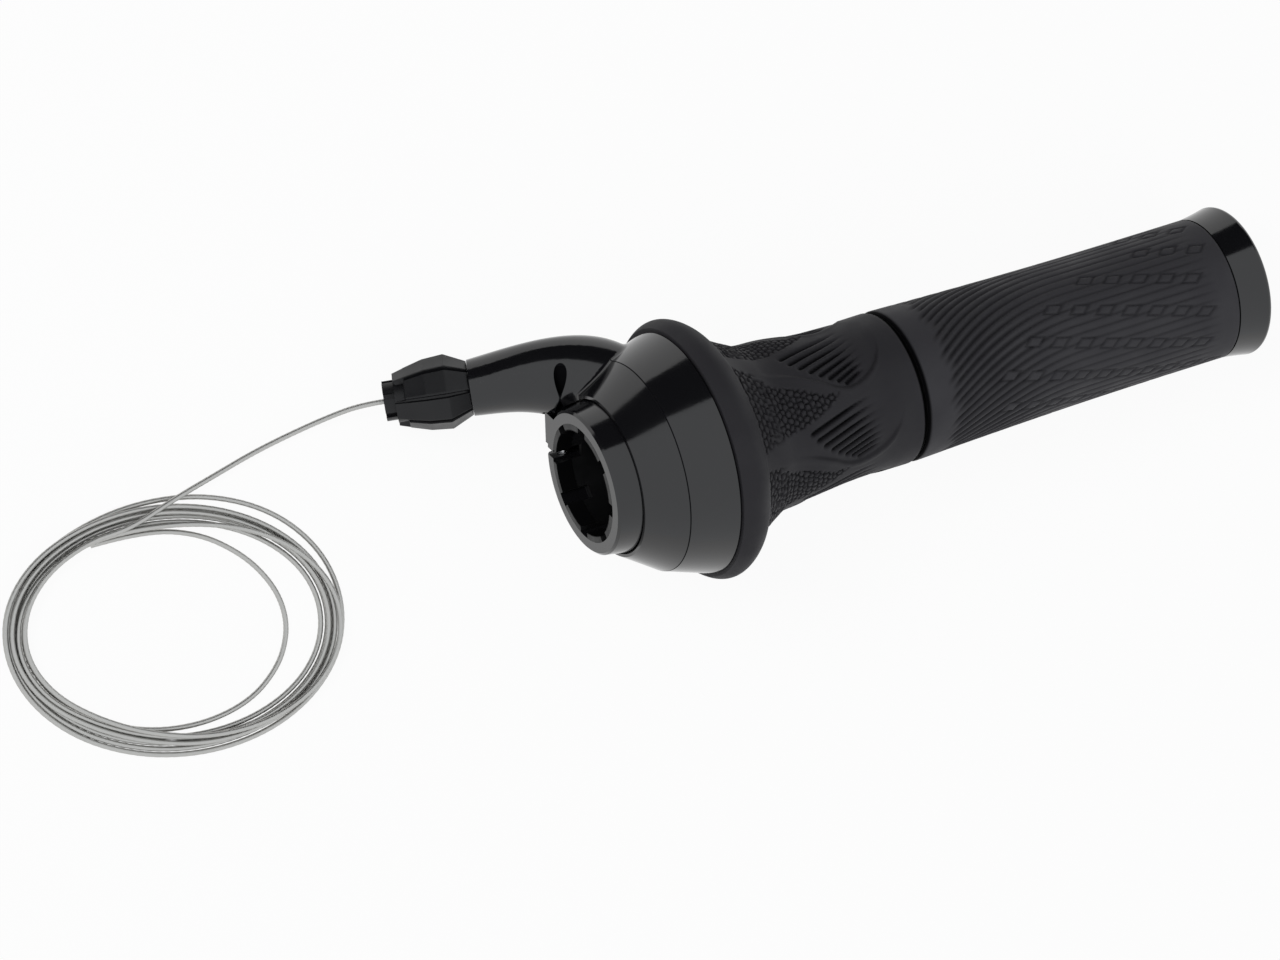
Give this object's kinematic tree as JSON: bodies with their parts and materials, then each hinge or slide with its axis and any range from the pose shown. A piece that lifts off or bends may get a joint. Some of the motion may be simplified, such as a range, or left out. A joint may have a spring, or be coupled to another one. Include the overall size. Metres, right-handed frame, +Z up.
{
  "type": "twist grip shifter",
  "caption": "Bicycle twist grip shifter: clamped black housing with a cable arm and barrel adjuster, a flanged rubber twist grip, a fixed outer grip and a coiled inner cable.",
  "frame": {"origin": "centre of the handlebar bore at the inboard clamp face", "axes": "+X out along the grip towards the bar end, +Z up as the shifter lies on a bench"},
  "size_m": [0.2755, 0.0664, 0.0547],
  "materials": {
    "housing_plastic": "polished moulded black",
    "clamp_plastic": "polished moulded black",
    "tube_plastic": "plain moulded black",
    "grip_rubber": "matte dark charcoal",
    "outer_rubber": "matte dark charcoal",
    "core_plastic": "plain moulded",
    "collar_plastic": "polished black",
    "cable_steel": "bright stranded wire",
    "screw_steel": "bright plated",
    "spring_steel": "plain drawn wire",
    "ball_steel": "polished",
    "cage_plastic": "natural nylon",
    "index_plastic": "plain moulded grey",
    "adjuster_plastic": "satin black"
  },
  "bodies": {
    "shifter": {"housing": "housing_plastic", "bar_tube": "tube_plastic", "clamp_collar": "clamp_plastic", "clamp_screw": "screw_steel", "clamp_nut": "screw_steel", "cable_guide": "tube_plastic", "cable_inner": "cable_steel", "index_ring": "index_plastic", "thrust_washer": "screw_steel", "retaining_ring": "spring_steel", "rest_core": "core_plastic", "rest_rubber": "outer_rubber", "lock_collar": "collar_plastic", "lock_screw": "screw_steel", "cable_lead": "cable_steel", "cable_coil": "cable_steel"},
    "twist_grip": {"twist_core": "core_plastic", "twist_rubber": "grip_rubber", "cable_spool": "index_plastic", "cable_head": "cable_steel", "cable_wrap": "cable_steel", "index_spring": "spring_steel"},
    "bearing": {"bearing_cage_inboard": "cage_plastic", "bearing_cage_middle": "cage_plastic", "bearing_cage_outboard": "cage_plastic", "bearing_balls_inboard": "ball_steel", "bearing_balls_middle": "ball_steel", "bearing_balls_outboard": "ball_steel"},
    "adjuster_knob": {"adjuster_knob": "adjuster_plastic", "adjuster_spring": "spring_steel"},
    "adjuster_bolt": {"adjuster_bolt": "adjuster_plastic"}
  },
  "joints": [
    {"name": "twist", "type": "hinge", "parent": "shifter", "child": "twist_grip", "pos_m": [0, 0, 0], "axis": [0.9963, 0, -0.0857], "range_deg": [0, 120], "deforming": ["index_spring"]},
    {"name": "bearing_roll", "type": "hinge", "parent": "shifter", "child": "bearing", "pos_m": [0, 0, 0], "axis": [0.9963, 0, -0.0857], "range_deg": [0, 65]},
    {"name": "adjuster_turn", "type": "hinge", "parent": "shifter", "child": "adjuster_knob", "pos_m": [-0.01257, 0.02299, -0.01722], "axis": [-0.9384, 0.0879, -0.3342], "range_deg": [0, 1100]},
    {"name": "adjuster_travel", "type": "slide", "parent": "adjuster_knob", "child": "adjuster_bolt", "axis": [-0.9384, 0.0879, -0.3342], "range_m": [0, 0.0024]}
  ],
  "couplings": [
    {"joint": "bearing_roll", "follows": "twist", "ratio": 0.5308},
    {"joint": "adjuster_turn", "follows": "adjuster_travel", "rad_per_m": 7854}
  ]
}
